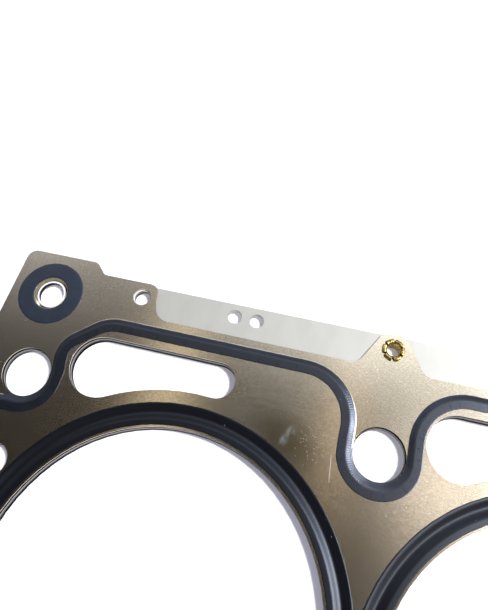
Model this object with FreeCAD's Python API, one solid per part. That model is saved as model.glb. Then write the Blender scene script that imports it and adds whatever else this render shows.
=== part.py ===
import FreeCAD, Part
import math
import os

# Multi-layer steel cylinder head gasket for a four-cylinder engine, lying flat.
# Millimetres, +Z up, X along the row of bores, Y across the engine.
# The origin is on the surface it lies on, below the middle of the row.

# Cylinders
bore_count = 4
bore_r = 38.75
bore_bridge = 10.5

# Stack, from the middle plate outwards
plate_thick = 1.4
sheet_thick = 0.3
coat_thick = 0.1
outer_gap = 0.5
half_bead_rise = 0.3

# Full bead pressed into each sheet around a bore down to the plate, and its rubber coating
bore_coat_margin = 0.45
bead_inner_margin = 1.6
bead_width = 3.1
bead_outer_margin = 0.7

# Half bead that closes in the bores and the coolant, and its rubber coating
coat_width = 3.5
half_bead_width = 1.7
bare_flank = 0.15

# Head bolts
bolt_row_margin = 4.85
bolt_hole_r = 6.2
plate_bolt_hole_step = 0.2

# Coolant slot on each side of a bore, between a straight side and an arc about the bore
slot_margin = 3.0
slot_width = 8.95
slot_near_x = -26.1
slot_far_x = 3.2

# Coolant holes at the two ends, beside the bore's coating
end_hole_offset = 0.25
end_hole_margin = 0.6
end_hole_r = 3.8

# Route of the half bead along the slots and past the bolts between two bores
slot_land = 1.9
loop_bolt_margin = 0.05
loop_row_margin = 0.55
loop_bolt_flat = 0.1
loop_shoulder_r = 12.0

# Route of the half bead at the end of the row
loop_end_reach = 9.0
loop_end_corner_r = 5.5
end_waist_ease = 0.2
end_waist_rise = 1.9
end_shoulder_shift = 1.2
end_shoulder_drop = 8.1
end_shoulder_r = 6.0
end_top_shift = 9.5
end_top_r = 9.0

# Oil ports in the four ears, each with a lip turned down to the plate
port_reach = 2.1
port_rise = 4.9
port_hole_r = 3.9
port_lip_width = 0.5
port_coat_gap = 0.1
port_coat_width = 4.2
plate_port_hole_step = 0.6

# Outline of the end and the ears
end_reach = 14.0
end_edge_rise = 1.4
end_edge_bend_r = 20.0
ear_slant = 1.6
ear_margin = 2.6
ear_corner_r = 2.6
ear_inner_shift = 9.5
ear_foot_shift = 2.7
ear_foot_r = 2.3
ear_step = 3.1

# Locating holes beside the ears
pin_setback = 22.25
pin_edge = 4.0
pin_hole_r = 2.3
plate_pin_hole_step = 0.25

# Long recess that leaves a strip of the middle plate bare
recess_margin = 2.05
recess_top_gap = 3.45
recess_top_r = 2.4
recess_waist_gap = 3.95
recess_waist_r = 3.0
recess_root_gap = 5.35
recess_root_r = 4.2

# Tabs that carry the eyelets across the recess
tab_root_half = 8.2
tab_root_r = 3.2
tab_shoulder_half = 3.3
tab_shoulder_r = 1.2
tab_shoulder_drop = 1.0
tab_rise = 0.2
tab_top_r = 5.0

# Middle plate, a little inside the sheets, with its two marking holes
plate_inset = 0.4
mark_hole_r = 1.85
mark_hole_edge = 3.4
mark_hole_offset = 3.35
mark_hole_spacing = 5.8
mark_hole_count = 2

# Brass eyelets
eyelet_edge = 4.4
eyelet_inner_r = 1.8
eyelet_wall = 0.25
eyelet_clearance = 0.05
eyelet_lip_r = 2.95
eyelet_lip_height = 0.6
eyelet_flange_r = 2.9
eyelet_flange_thick = 0.22
petal_count = 6
petal_r = 1.25
petal_notch_deg = 31.0

# Heights
sheet_low = coat_thick + half_bead_rise
plate_bottom = sheet_low + sheet_thick + outer_gap
plate_top = plate_bottom + plate_thick
middle_z = plate_bottom + plate_thick / 2
sheet_bottom = plate_top + outer_gap
sheet_top = sheet_bottom + sheet_thick
raised_bottom = sheet_bottom + half_bead_rise
raised_top = sheet_top + half_bead_rise
cutter_margin = 1.0

# Row of bores and bolts
bore_pitch = 2 * bore_r + bore_bridge
bore_xs = [(i - (bore_count - 1) / 2) * bore_pitch for i in range(bore_count)]
gap_xs = [x + bore_pitch / 2 for x in bore_xs[:-1]]
end_bolt_x = bore_xs[-1] + bore_pitch / 2
bolt_xs = [-end_bolt_x] + gap_xs + [end_bolt_x]
bolt_row_y = bore_r + bolt_row_margin
plate_bolt_hole_r = bolt_hole_r - plate_bolt_hole_step

# Beads around the bores, slots and end holes
bore_coat_inner_r = bore_r + bore_coat_margin
bead_inner_r = bore_coat_inner_r + bead_inner_margin
bead_depth = half_bead_rise + outer_gap
bore_coat_outer_r = bead_inner_r + bead_width + bead_outer_margin
slot_inner_r = bore_coat_outer_r + slot_margin
slot_outer_y = slot_inner_r + slot_width
end_hole_x = end_bolt_x - end_hole_offset
end_hole_reach = bore_coat_outer_r + end_hole_margin + end_hole_r
end_hole_y = math.sqrt(end_hole_reach ** 2 - (end_hole_x - bore_xs[-1]) ** 2)

# Half bead's route
flank_out = coat_width / 2 + bare_flank
flank_in = flank_out - half_bead_width
loop_side_y = slot_outer_y + slot_land + coat_width / 2
loop_row_y = bolt_row_y - bolt_hole_r - loop_row_margin - coat_width / 2
loop_bolt_offset = bolt_hole_r + loop_bolt_margin + coat_width / 2
loop_bolt_r = loop_bolt_offset - loop_bolt_flat
loop_end_x = end_bolt_x + loop_end_reach
end_waist_x = end_bolt_x - loop_bolt_offset + end_waist_ease
end_waist_y = bolt_row_y + end_waist_rise
end_shoulder_x = end_waist_x + end_shoulder_shift
end_shoulder_y = loop_side_y - end_shoulder_drop
end_top_x = end_shoulder_x - end_top_shift

# Oil ports
port_x = end_bolt_x + port_reach
port_y = loop_side_y + port_rise
port_lip_outer_r = port_hole_r + port_lip_width
port_coat_inner_r = port_lip_outer_r + port_coat_gap
port_coat_outer_r = port_coat_inner_r + port_coat_width
plate_port_hole_r = port_hole_r - plate_port_hole_step

# Outline
end_edge_x = end_bolt_x + end_reach
end_edge_y = bolt_row_y + end_edge_rise
ear_edge_x = end_edge_x - ear_slant
ear_y = port_y + port_coat_outer_r + ear_margin
ear_inner_x = port_x - ear_inner_shift
ear_foot_x = ear_inner_x - ear_foot_shift
sheet_edge_y = ear_y - ear_step
pin_x = end_bolt_x - pin_setback
pin_y = sheet_edge_y - pin_edge
plate_pin_hole_r = pin_hole_r - plate_pin_hole_step
recess_y = loop_side_y + coat_width / 2 + recess_margin
tab_top_y = sheet_edge_y + tab_rise
eyelet_y = tab_top_y - eyelet_edge
eyelet_hole_r = eyelet_inner_r + eyelet_wall + eyelet_clearance
mark_hole_y = sheet_edge_y - plate_inset - mark_hole_edge

side_names = {1: "rear", -1: "front"}
end_names = {-1: "left", 1: "right"}


def vec(x, y, z=0.0):
    return FreeCAD.Vector(x, y, z)


# Corner of an anticlockwise outline once its two sides have moved out by the offset
def shifted_corner(before, corner, after, offset):
    a = vec(corner[0] - before[0], corner[1] - before[1]).normalize()
    b = vec(after[0] - corner[0], after[1] - corner[1]).normalize()
    out_a = vec(a.y, -a.x)
    out_b = vec(b.y, -b.x)
    point = vec(corner[0], corner[1]) + (out_a + out_b) * (offset / (1 + out_a.dot(out_b)))
    bulges = a.x * b.y - a.y * b.x > 0
    radius = corner[2] + offset if bulges else corner[2] - offset
    return point, radius, a, b


# Closed wire through anticlockwise (x, y, radius) corners, moved out by the offset
def rounded_wire(corners, z, offset=0.0):
    spans = []
    for i in range(len(corners)):
        after = corners[(i + 1) % len(corners)]
        point, radius, a, b = shifted_corner(corners[i - 1], corners[i], after, offset)
        half_turn = a.getAngle(b) / 2
        length = radius * math.tan(half_turn)
        sagitta = radius / math.cos(half_turn) - radius
        middle = point + (b - a).normalize() * sagitta
        spans.append([p + vec(0, 0, z) for p in (point - a * length, middle, point + b * length)])
    edges = []
    for i, (start, middle, end) in enumerate(spans):
        edges.append(Part.Arc(start, middle, end).toShape())
        edges.append(Part.LineSegment(end, spans[(i + 1) % len(spans)][0]).toShape())
    return Part.Wire(edges)


# Upright solid on a rounded outline
def slab(corners, z, height, offset=0.0):
    return Part.Face(rounded_wire(corners, z, offset)).extrude(vec(0, 0, height))


# Plateau whose side slopes in from one parallel outline to another
def terrace(corners, z, height, low_offset, high_offset):
    low = rounded_wire(corners, z, low_offset)
    high = rounded_wire(corners, z + height, high_offset)
    return Part.makeLoft([low, high], True, True)


# Round cutter through the whole stack
def drill(x, y, r):
    depth = raised_top + coat_thick + 2 * cutter_margin
    return Part.makeCylinder(r, depth, vec(x, y, -cutter_margin))


# Flat ring
def washer(x, y, z, inner_r, outer_r, height):
    ring = Part.makeCylinder(outer_r, height, vec(x, y, z))
    return ring.cut(Part.makeCylinder(inner_r, height, vec(x, y, z)))


# Solid turned about an upright axis from a list of edges or points in the XZ plane
def turned(edges, x, y=0.0):
    solid = Part.Face(Part.Wire(edges)).revolve(vec(0, 0), vec(0, 0, 1), 360)
    solid.translate(vec(x, y))
    return solid


def line(r0, z0, r1, z1):
    return Part.LineSegment(vec(r0, 0, z0), vec(r1, 0, z1)).toShape()


def arc(r0, z0, r1, z1, r2, z2):
    return Part.Arc(vec(r0, 0, z0), vec(r1, 0, z1), vec(r2, 0, z2)).toShape()


# Round-bottomed ring that hangs below a height, the shape of a full bead's groove
def bead_ring(x, z):
    outer_r = bead_inner_r + bead_width
    middle_r = bead_inner_r + bead_width / 2
    section = [arc(bead_inner_r, z, middle_r, z - bead_depth, outer_r, z), line(outer_r, z, bead_inner_r, z)]
    return turned(section, x)


# Left end of an outline turned into the right end, still anticlockwise
def other_end(corners):
    return [(-x, y, r) for x, y, r in corners[::-1]]


# Rear side of an outline turned into the front side, still anticlockwise
def other_side(corners):
    return [(x, -y, r) for x, y, r in corners[::-1]]


def loop_corners():
    left = [
        (-end_top_x, loop_side_y, end_top_r),
        (-end_shoulder_x, end_shoulder_y, end_shoulder_r),
        (-end_waist_x, end_waist_y, end_shoulder_r),
        (-end_waist_x, loop_row_y, loop_bolt_r),
        (-loop_end_x, loop_row_y, loop_end_corner_r),
    ]
    rear = other_end(left)
    for x in gap_xs[::-1]:
        rear.append((x + loop_bolt_offset, loop_side_y, loop_shoulder_r))
        rear.append((x + loop_bolt_offset, loop_row_y, loop_bolt_r))
        rear.append((x - loop_bolt_offset, loop_row_y, loop_bolt_r))
        rear.append((x - loop_bolt_offset, loop_side_y, loop_shoulder_r))
    rear += left
    return rear + other_side(rear)


# Ear at the left end, from its foot round to the middle of the end
def ear_corners():
    return [
        (-ear_foot_x, sheet_edge_y, ear_foot_r),
        (-ear_inner_x, ear_y, ear_foot_r),
        (-ear_edge_x, ear_y, ear_corner_r),
        (-end_edge_x, end_edge_y, end_edge_bend_r),
    ]


def plain_side():
    return other_end(ear_corners()) + ear_corners()


def recessed_side():
    end_of_recess = [
        (recess_root_gap - pin_x, recess_y, recess_root_r),
        (recess_waist_gap - pin_x, pin_y, recess_waist_r),
        (recess_top_gap - pin_x, sheet_edge_y, recess_top_r),
    ]
    left = end_of_recess + ear_corners()
    side = other_end(left)
    shoulder_y = tab_top_y - tab_shoulder_drop
    for x in gap_xs[::-1]:
        side.append((x + tab_root_half, recess_y, tab_root_r))
        side.append((x + tab_shoulder_half, shoulder_y, tab_shoulder_r))
        side.append((x, tab_top_y, tab_top_r))
        side.append((x - tab_shoulder_half, shoulder_y, tab_shoulder_r))
        side.append((x - tab_root_half, recess_y, tab_root_r))
    return side + left


# Centre height and radius of the slot's round end at a given X
def slot_end(x):
    reach = slot_outer_y + slot_inner_r
    y = (reach ** 2 - x ** 2) / (2 * reach)
    return y, slot_outer_y - y


# Point at an angle on a circle
def on_circle(x, y, r, angle):
    return vec(x + r * math.cos(angle), y + r * math.sin(angle))


def slot_cutter(bore_x, side):
    far_y, far_r = slot_end(slot_far_x)
    near_y, near_r = slot_end(slot_near_x)
    far_in = math.atan2(far_y, slot_far_x)
    near_in = math.atan2(near_y, slot_near_x)
    top = math.pi / 2
    far_middle = (top + far_in - math.pi) / 2
    near_middle = (near_in + top + math.pi) / 2
    far_touch = on_circle(0, 0, slot_inner_r, far_in)
    near_touch = on_circle(0, 0, slot_inner_r, near_in)
    far_top = vec(slot_far_x, slot_outer_y)
    near_top = vec(slot_near_x, slot_outer_y)
    edges = [
        Part.LineSegment(near_top, far_top).toShape(),
        Part.Arc(far_top, on_circle(slot_far_x, far_y, far_r, far_middle), far_touch).toShape(),
        Part.Arc(far_touch, on_circle(0, 0, slot_inner_r, (far_in + near_in) / 2), near_touch).toShape(),
        Part.Arc(near_touch, on_circle(slot_near_x, near_y, near_r, near_middle), near_top).toShape(),
    ]
    depth = raised_top + coat_thick + 2 * cutter_margin
    cutter = Part.Face(Part.Wire(edges)).extrude(vec(0, 0, depth))
    cutter.translate(vec(0, 0, -cutter_margin))
    if side < 0:
        cutter = cutter.mirror(vec(0, 0), vec(0, 1))
    cutter.translate(vec(bore_x, 0))
    return cutter


# Holes that pass through all three steel layers
def layer_cutters(bolt_r, port_r, pin_r):
    cutters = [drill(x, 0, bore_r) for x in bore_xs]
    for side in side_names:
        cutters += [slot_cutter(x, side) for x in bore_xs]
        cutters += [drill(x, side * bolt_row_y, bolt_r) for x in bolt_xs]
        cutters += [drill(x, side * eyelet_y, eyelet_hole_r) for x in gap_xs]
        for end in end_names:
            cutters.append(drill(end * end_hole_x, side * end_hole_y, end_hole_r))
            cutters.append(drill(end * port_x, side * port_y, port_r))
            cutters.append(drill(end * pin_x, side * pin_y, pin_r))
    return cutters


# Lip of bare steel that dips into an oil port
def port_lip(x, y):
    low = plate_top + sheet_thick
    section = [
        line(port_lip_outer_r, sheet_top, port_hole_r, low),
        line(port_hole_r, low, port_hole_r, low - sheet_thick),
        line(port_hole_r, low - sheet_thick, port_lip_outer_r, sheet_bottom),
        line(port_lip_outer_r, sheet_bottom, port_lip_outer_r, sheet_top),
    ]
    return turned(section, x, y)


def top_sheet():
    loop = loop_corners()
    sheet = slab(recessed_side() + other_side(plain_side()), sheet_bottom, sheet_thick)
    sheet = sheet.fuse(terrace(loop, sheet_top, half_bead_rise, flank_out, flank_in))
    sheet = sheet.cut(terrace(loop, sheet_bottom, half_bead_rise, flank_out, flank_in))
    sheet = sheet.fuse([bead_ring(x, raised_bottom) for x in bore_xs])
    sheet = sheet.cut([bead_ring(x, raised_top) for x in bore_xs])
    sheet = sheet.cut(layer_cutters(bolt_hole_r, port_lip_outer_r, pin_hole_r))
    lips = [port_lip(end * port_x, side * port_y) for end in end_names for side in side_names]
    return sheet.fuse(lips).removeSplitter()


def middle_plate():
    outline = plain_side() + other_side(plain_side())
    plate = slab(outline, plate_bottom, plate_thick, -plate_inset)
    marks = []
    for i in range(mark_hole_count):
        marks.append(drill(bore_xs[0] + mark_hole_offset + i * mark_hole_spacing, mark_hole_y, mark_hole_r))
    return plate.cut(layer_cutters(plate_bolt_hole_r, plate_port_hole_r, plate_pin_hole_r) + marks)


# Rubber over the full beads, one chain because neighbouring rings meet between the bores
def bore_coating():
    rings = [washer(x, 0, raised_top, bore_coat_inner_r, bore_coat_outer_r, coat_thick) for x in bore_xs]
    chain = rings[0].fuse(rings[1:] + [bead_ring(x, raised_top) for x in bore_xs])
    chain = chain.cut([bead_ring(x, raised_top + coat_thick) for x in bore_xs])
    return chain.removeSplitter()


# Rubber over the half bead, one closed loop
def coolant_coating():
    loop = loop_corners()
    half = coat_width / 2
    band = slab(loop, sheet_top, coat_thick, half)
    band = band.fuse(terrace(loop, sheet_top + coat_thick, half_bead_rise, flank_out, flank_in))
    band = band.cut(terrace(loop, sheet_top, half_bead_rise, flank_out, flank_in))
    height = half_bead_rise + 2 * cutter_margin
    track = slab(loop, sheet_top, height, half).cut(slab(loop, sheet_top, height, -half))
    band = band.common(track)
    holes = [drill(x, side * bolt_row_y, bolt_hole_r) for x in bolt_xs for side in side_names]
    return band.cut(holes).removeSplitter()


def port_coating(side, end):
    return washer(end * port_x, side * port_y, sheet_top, port_coat_inner_r, port_coat_outer_r, coat_thick)


# Tube with a plain flange below and a lip rolled into petals on top
def eyelet(x, y):
    outer_r = eyelet_inner_r + eyelet_wall
    flange_z = sheet_low - eyelet_flange_thick
    crown_r = (eyelet_inner_r + eyelet_lip_r) / 2
    crown_z = sheet_top + eyelet_lip_height
    tip_r = eyelet_lip_r - eyelet_wall
    swing = (crown_r - eyelet_inner_r) * math.sqrt(0.5)
    inner_swing = (crown_r - outer_r) * math.sqrt(0.5)
    rise = eyelet_lip_height * math.sqrt(0.5)
    inner_rise = (eyelet_lip_height - eyelet_wall) * math.sqrt(0.5)
    z = sheet_top
    under = crown_z - eyelet_wall
    section = [
        line(eyelet_inner_r, flange_z, eyelet_inner_r, z),
        arc(eyelet_inner_r, z, crown_r - swing, z + rise, crown_r, crown_z),
        arc(crown_r, crown_z, crown_r + swing, z + rise, eyelet_lip_r, z),
        line(eyelet_lip_r, z, tip_r, z),
        arc(tip_r, z, crown_r + inner_swing, z + inner_rise, crown_r, under),
        arc(crown_r, under, crown_r - inner_swing, z + inner_rise, outer_r, z),
        line(outer_r, z, outer_r, sheet_low),
        line(outer_r, sheet_low, eyelet_flange_r, sheet_low),
        line(eyelet_flange_r, sheet_low, eyelet_flange_r, flange_z),
        line(eyelet_flange_r, flange_z, eyelet_inner_r, flange_z),
    ]
    notch_height = eyelet_lip_height + cutter_margin
    notches = washer(0, 0, z, crown_r, eyelet_lip_r + cutter_margin, notch_height)
    for i in range(petal_count):
        angle = math.radians(petal_notch_deg + (i + 0.5) * 360 / petal_count)
        centre = on_circle(0, 0, eyelet_lip_r - petal_r, angle)
        notches = notches.cut(Part.makeCylinder(petal_r, notch_height, centre + vec(0, 0, z)))
    body = turned(section, 0).cut(notches)
    body.translate(vec(x, y))
    return body


# The lower half of the stack is the upper half turned over about the plate's middle
def turned_over(shape):
    return shape.mirror(vec(0, 0, middle_z), vec(0, 0, 1))


def save(shape, name):
    solids = shape.Solids
    result = solids[0] if len(solids) == 1 else Part.makeCompound(solids)
    if not result.isValid() or not solids:
        raise RuntimeError(name + " is not a sound solid")
    result.exportStep("parts/" + name + ".step")
    print(name, len(solids), "solid", round(result.Volume, 2), "mm3")


os.makedirs("parts", exist_ok=True)

upper_sheet = top_sheet()
upper_bore_coating = bore_coating()
upper_coolant_coating = coolant_coating()
save(upper_sheet, "top_sheet")
save(turned_over(upper_sheet), "bottom_sheet")
save(middle_plate(), "middle_plate")
save(upper_bore_coating, "top_bore_coating")
save(turned_over(upper_bore_coating), "bottom_bore_coating")
save(upper_coolant_coating, "top_coolant_coating")
save(turned_over(upper_coolant_coating), "bottom_coolant_coating")
for side, side_name in side_names.items():
    for end, end_name in end_names.items():
        ring = port_coating(side, end)
        save(ring, "top_port_coating_" + side_name + "_" + end_name)
        save(turned_over(ring), "bottom_port_coating_" + side_name + "_" + end_name)
    for i, x in enumerate(gap_xs):
        save(eyelet(x, side * eyelet_y), "eyelet_" + side_name + "_" + str(i + 1))
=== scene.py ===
import math

import bpy
from mathutils import Matrix, Vector, noise


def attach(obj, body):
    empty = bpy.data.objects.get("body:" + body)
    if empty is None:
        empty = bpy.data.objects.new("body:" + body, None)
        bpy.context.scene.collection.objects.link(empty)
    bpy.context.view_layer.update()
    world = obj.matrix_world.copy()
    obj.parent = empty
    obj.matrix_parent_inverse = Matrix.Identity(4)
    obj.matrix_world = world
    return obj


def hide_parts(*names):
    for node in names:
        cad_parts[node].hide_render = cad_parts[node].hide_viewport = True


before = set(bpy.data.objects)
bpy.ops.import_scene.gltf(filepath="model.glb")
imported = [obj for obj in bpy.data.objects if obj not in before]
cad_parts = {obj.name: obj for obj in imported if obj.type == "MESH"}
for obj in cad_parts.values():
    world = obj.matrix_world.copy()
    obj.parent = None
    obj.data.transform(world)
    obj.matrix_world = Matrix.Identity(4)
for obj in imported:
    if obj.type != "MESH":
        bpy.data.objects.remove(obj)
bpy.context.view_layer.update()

mm = 0.001
print("gasket loaded:", len(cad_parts), "pieces")

# Heights of the stack, in mm, and the rows of bores and bolts
stack = {
    "sheetTop": 3.4,        # top sheet's outer level
    "raise": 0.3,           # step up of the half bead
    "coat": 0.1,            # rubber thickness
    "middle": 1.9,          # the lower half mirrors about this height
    "bores": 4,
    "pitch": 88.0,
    "boltRowY": 43.6,
    "boltHoleR": 6.2,
}
boreXs = [(i - (stack["bores"] - 1) / 2) * stack["pitch"] for i in range(stack["bores"])]
gapXs = [x + stack["pitch"] / 2 for x in boreXs[:-1]]
endBoltX = boreXs[-1] + stack["pitch"] / 2
boltXs = [-endBoltX] + gapXs + [endBoltX]


# A colour as it shows on a screen, turned into the linear values that shaders use
def colour(hexText):
    parts = [int(hexText[i:i + 2], 16) / 255 for i in (1, 3, 5)]
    linear = [c / 12.92 if c <= 0.04045 else ((c + 0.055) / 1.055) ** 2.4 for c in parts]
    return (*linear, 1.0)


# Adds a node. A setting is one of its properties or inputs, and an output given there is linked;
# a node given there is linked from its first output in use. Inputs whose names aren't unique go by
# number: 0 to 2 on a Math node, and on a colour Mix 0 for the mask, 6 and 7 for the two colours.
def addNode(tree, kind, settings=None):
    node = tree.nodes.new(kind)
    for name, value in (settings or {}).items():
        if isinstance(value, bpy.types.Node):
            value = next(output for output in value.outputs if output.enabled)
        if isinstance(value, bpy.types.NodeSocket):
            tree.links.new(value, node.inputs[name])
        elif isinstance(name, int) or name in node.inputs:
            node.inputs[name].default_value = value
        else:
            setattr(node, name, value)
    return node


def newMaterial(name):
    material = bpy.data.materials.new(name)
    material.use_nodes = True
    material.node_tree.nodes.clear()
    return material, material.node_tree


# Object coordinates stretched so that one unit is the given length in mm along each axis
def stretched(tree, size):
    place = addNode(tree, "ShaderNodeTexCoord")
    scale = [1 / (length * mm) for length in size]
    return addNode(tree, "ShaderNodeMapping", {"Vector": place.outputs["Object"], "Scale": scale})


# Noise of a size in mm, squeezed between two limits into a 0 to 1 mask
def noiseMask(tree, size, low, high, detail=3.0):
    cloud = addNode(tree, "ShaderNodeTexNoise", {
        "Vector": stretched(tree, size), "Scale": 1.0, "Detail": detail})
    return addNode(tree, "ShaderNodeMapRange", {"Value": cloud, "From Min": low, "From Max": high})


# Soft-edged oval patch at a place on the gasket, in mm, turned by an angle in degrees
def patchMask(tree, x, y, halfX, halfY, turn, hardness):
    place = addNode(tree, "ShaderNodeTexCoord")
    local = addNode(tree, "ShaderNodeMapping", {
        "vector_type": "TEXTURE", "Vector": place.outputs["Object"],
        "Location": (x * mm, y * mm, stack["sheetTop"] * mm), "Rotation": (0, 0, math.radians(turn)),
        "Scale": (halfX * mm, halfY * mm, 1)})
    distance = addNode(tree, "ShaderNodeVectorMath", {"operation": "LENGTH", 0: local})
    return addNode(tree, "ShaderNodeMapRange", {
        "interpolation_type": "SMOOTHSTEP", "Value": distance, "From Min": 1.0, "From Max": hardness})


# Round specks scattered one to a cell, of which only a share shows
def speckMask(tree, cell, radius, share):
    tallCell = 50.0     # mm, so that one layer of cells spans the gasket's thickness
    dots = addNode(tree, "ShaderNodeTexVoronoi", {
        "Vector": stretched(tree, (cell, cell, tallCell)), "Scale": 1.0})
    near = addNode(tree, "ShaderNodeMapRange", {
        "Value": dots.outputs["Distance"], "From Min": radius / cell, "From Max": radius / cell / 2})
    picked = addNode(tree, "ShaderNodeMath", {"operation": "LESS_THAN", 0: dots.outputs["Color"], 1: share})
    return addNode(tree, "ShaderNodeMath", {"operation": "MULTIPLY", 0: near, 1: picked})


# 1 where a length lies between two others, in mm, with a soft step at each
def between(tree, length, low, high, soft):
    up = addNode(tree, "ShaderNodeMapRange", {
        "Value": length, "From Min": (low - soft) * mm, "From Max": (low + soft) * mm})
    down = addNode(tree, "ShaderNodeMapRange", {
        "Value": length, "From Min": (high + soft) * mm, "From Max": (high - soft) * mm})
    return addNode(tree, "ShaderNodeMath", {"operation": "MULTIPLY", 0: up, 1: down})


# The lengths along and across a piece that its skin keeps as UVs
def alongAndAcross(tree):
    spot = addNode(tree, "ShaderNodeUVMap", {"uv_map": "alongAndAcross"})
    split = addNode(tree, "ShaderNodeSeparateXYZ", {0: spot})
    return split.outputs["X"], split.outputs["Y"]


# How near a place along a piece is to the middle of a tick, 0 to 1, with ticks that wander a little
def tickMask(tree, along, spacing, width, wander):
    wanderLength = 1.7      # in ticks
    place = addNode(tree, "ShaderNodeTexCoord")
    cloud = addNode(tree, "ShaderNodeTexNoise", {
        "Vector": place.outputs["Object"], "Scale": 1 / (spacing * wanderLength * mm), "Detail": 1.0})
    even = addNode(tree, "ShaderNodeMath", {"operation": "DIVIDE", 0: along, 1: spacing * mm})
    moved = addNode(tree, "ShaderNodeMath", {"operation": "MULTIPLY_ADD", 0: cloud, 1: wander, 2: even})
    swing = addNode(tree, "ShaderNodeMath", {"operation": "PINGPONG", 0: moved, 1: 0.5})
    return addNode(tree, "ShaderNodeMapRange", {
        "interpolation_type": "SMOOTHSTEP", "Value": swing, "From Min": width, "From Max": 0.0})


# Camera, worked out from the bolt and bore pattern in the picture
camera = {
    "place": (-104.27, 11.28, 156.6),   # mm
    "turn": 18.85,                      # degrees from +X to the picture's level line
    "tilt": 28.6,                       # away from straight down
    "roll": -5.87,
    "focalPixels": 640.3,
    "tallPixels": 610,
    "centreY": 244,                     # height of the optical axis, in pixels from the top
}


def addCamera():
    turn, tilt, roll = (math.radians(camera[angle]) for angle in ("turn", "tilt", "roll"))
    across = Vector((math.cos(turn), math.sin(turn), 0))
    ahead = Vector((-math.sin(turn), math.cos(turn), 0))
    look = ahead * math.sin(tilt) - Vector((0, 0, math.cos(tilt)))
    up = ahead * math.cos(tilt) + Vector((0, 0, math.sin(tilt)))
    right = across * math.cos(roll) + up * math.sin(roll)
    up = up * math.cos(roll) - across * math.sin(roll)
    data = bpy.data.cameras.new("camera")
    tall = camera["tallPixels"]
    data.sensor_width = 36.0
    data.lens = camera["focalPixels"] * data.sensor_width / tall
    data.shift_y = (camera["centreY"] - tall / 2) / tall
    data.clip_start = 0.01
    eye = bpy.data.objects.new("camera", data)
    turned = Matrix((right, up, -look)).transposed().to_4x4()
    eye.matrix_world = Matrix.Translation(Vector(camera["place"]) * mm) @ turned
    bpy.context.scene.collection.objects.link(eye)
    bpy.context.scene.camera = eye


addCamera()
print("camera placed")

# Key lamp that draws the shadow, a softbox beside it that only shows as a reflection, a dark card
# overhead, and pale panels that the satin steel mirrors.
# A direction is given by how far it goes across (X) and away (Y) for each step up.
studio = {
    "boxSlope": (0.66, 0.2),
    "boxSize": 0.44,                # metres
    "boxPower": 12.0,               # watts
    "keySlope": (0.46, 0.12),
    "keySize": 0.14,
    "keyPower": 16.0,
    "lampDistance": 1.2,            # metres from the first bore
    "floorColour": "#f4f4f6",
    "floorSize": 2.4,
    "floorDrop": 0.05,              # mm below the gasket's lowest point
    "floorGlow": 0.19,              # near the gasket, where the floor keeps its shadow
    "farGlow": 1.0,
    "glowFrom": 0.28,               # metres from the middle
    "glowTo": 0.6,
    "roomShade": "#8281a0",         # what lights the matt surfaces
    "roomWalls": "#a9a6a0",
    "lowestSlope": 0.05,            # rays flatter than this count as this steep
    "card": (-0.1, 0.2, 0.55, 1.15),    # middle across and away, then where it starts and stops fading
    "cardDark": "#292621",
    "panels": [                     # middle across and away, half sizes, colour, strength
        (-0.56, 0.60, 0.20, 0.17, "#dfe3ef", 2.05),
        (-0.235, 0.22, 0.026, 0.20, "#fff2d8", 2.1),
        (0.16, 0.43, 0.32, 0.064, "#f2f9ff", 4.3),
        (0.20, 0.19, 0.06, 0.05, "#fbf4ee", 3.6),
        (0.045, 0.24, 0.014, 0.09, "#ffe6c4", 2.5),
        (0.0, 0.78, 0.5, 0.14, "#e4efff", 2.6),
        (0.60, 0.34, 0.15, 0.2, "#d2e2ff", 17.4),
    ],
}


def addLamp(name, slope, size, power):
    data = bpy.data.lights.new(name, "AREA")
    data.shape = "SQUARE"
    data.size = size
    data.energy = power
    lamp = bpy.data.objects.new(name, data)
    firstBore = Vector((boreXs[0] * mm, 0, 0))
    toward = Vector((*slope, 1)).normalized()
    lamp.location = firstBore + toward * studio["lampDistance"]
    lamp.rotation_euler = toward.to_track_quat("Z", "Y").to_euler()
    bpy.context.scene.collection.objects.link(lamp)
    return lamp


def addFloor():
    half = studio["floorSize"] / 2
    low = -studio["floorDrop"] * mm
    corners = [(-half, -half, low), (half, -half, low), (half, half, low), (-half, half, low)]
    mesh = bpy.data.meshes.new("floor")
    mesh.from_pydata(corners, [], [(0, 1, 2, 3)])
    floor = bpy.data.objects.new("floor", mesh)
    bpy.context.scene.collection.objects.link(floor)
    material, tree = newMaterial("whitePaintedBoard")
    board = addNode(tree, "ShaderNodeBsdfDiffuse", {"Color": colour(studio["floorColour"])})
    rays = addNode(tree, "ShaderNodeLightPath").outputs
    seen = rays["Is Camera Ray"]
    for kind in ("Is Glossy Ray", "Is Transmission Ray"):
        seen = addNode(tree, "ShaderNodeMath", {"operation": "MAXIMUM", 0: seen, 1: rays[kind]})
    place = addNode(tree, "ShaderNodeTexCoord")
    away = addNode(tree, "ShaderNodeVectorMath", {"operation": "LENGTH", 0: place.outputs["Object"]})
    rise = addNode(tree, "ShaderNodeMapRange", {
        "interpolation_type": "SMOOTHSTEP", "Value": away, "From Min": studio["glowFrom"],
        "From Max": studio["glowTo"], "To Min": studio["floorGlow"], "To Max": studio["farGlow"]})
    strength = addNode(tree, "ShaderNodeMath", {"operation": "MULTIPLY", 0: seen, 1: rise})
    glow = addNode(tree, "ShaderNodeEmission", {"Color": (1, 1, 1, 1), "Strength": strength})
    lit = addNode(tree, "ShaderNodeAddShader", {0: board, 1: glow})
    addNode(tree, "ShaderNodeOutputMaterial", {"Surface": lit})
    mesh.materials.append(material)


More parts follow.
